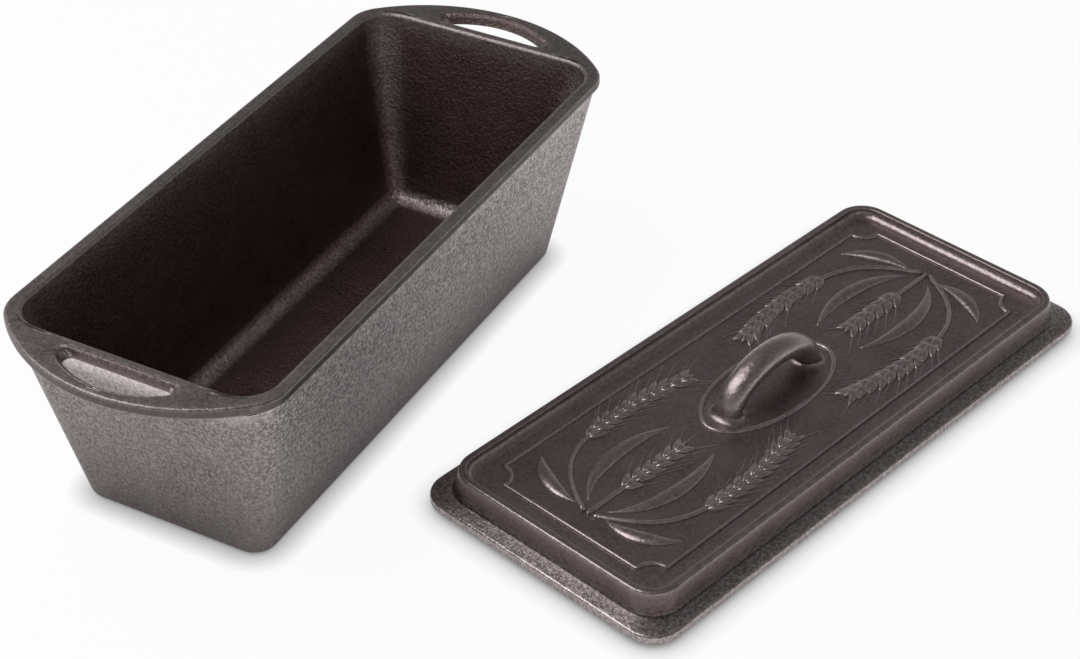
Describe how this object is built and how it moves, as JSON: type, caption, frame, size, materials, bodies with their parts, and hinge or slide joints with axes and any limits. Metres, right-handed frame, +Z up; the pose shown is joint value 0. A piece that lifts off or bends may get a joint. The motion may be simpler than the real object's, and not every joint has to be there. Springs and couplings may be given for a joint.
{
  "type": "lidded bread pan",
  "caption": "Deep tapered cast iron bread pan with a slotted handle at each end, and its flanged lid with a raised, bordered top and an arch handle lying beside it.",
  "frame": {"origin": "centre of the pan's flat base, on the surface that the pan and the lid rest on", "axes": "+Z up, +X along the pan's long axis; the lid lies on the -Y side of the pan, turned 15.5 degrees"},
  "size_m": [0.3833, 0.351, 0.097],
  "materials": {
    "pan_iron": "seasoned, satin, rough cast",
    "lid_iron": "seasoned, satin"
  },
  "bodies": {
    "pan": {"pan": "pan_iron"},
    "lid": {"lid": "lid_iron"}
  },
  "joints": [
    {"name": "lid_lift", "type": "slide", "parent": "pan", "child": "lid", "axis": [0, 0, 1], "range_m": [0, 0.2]}
  ]
}
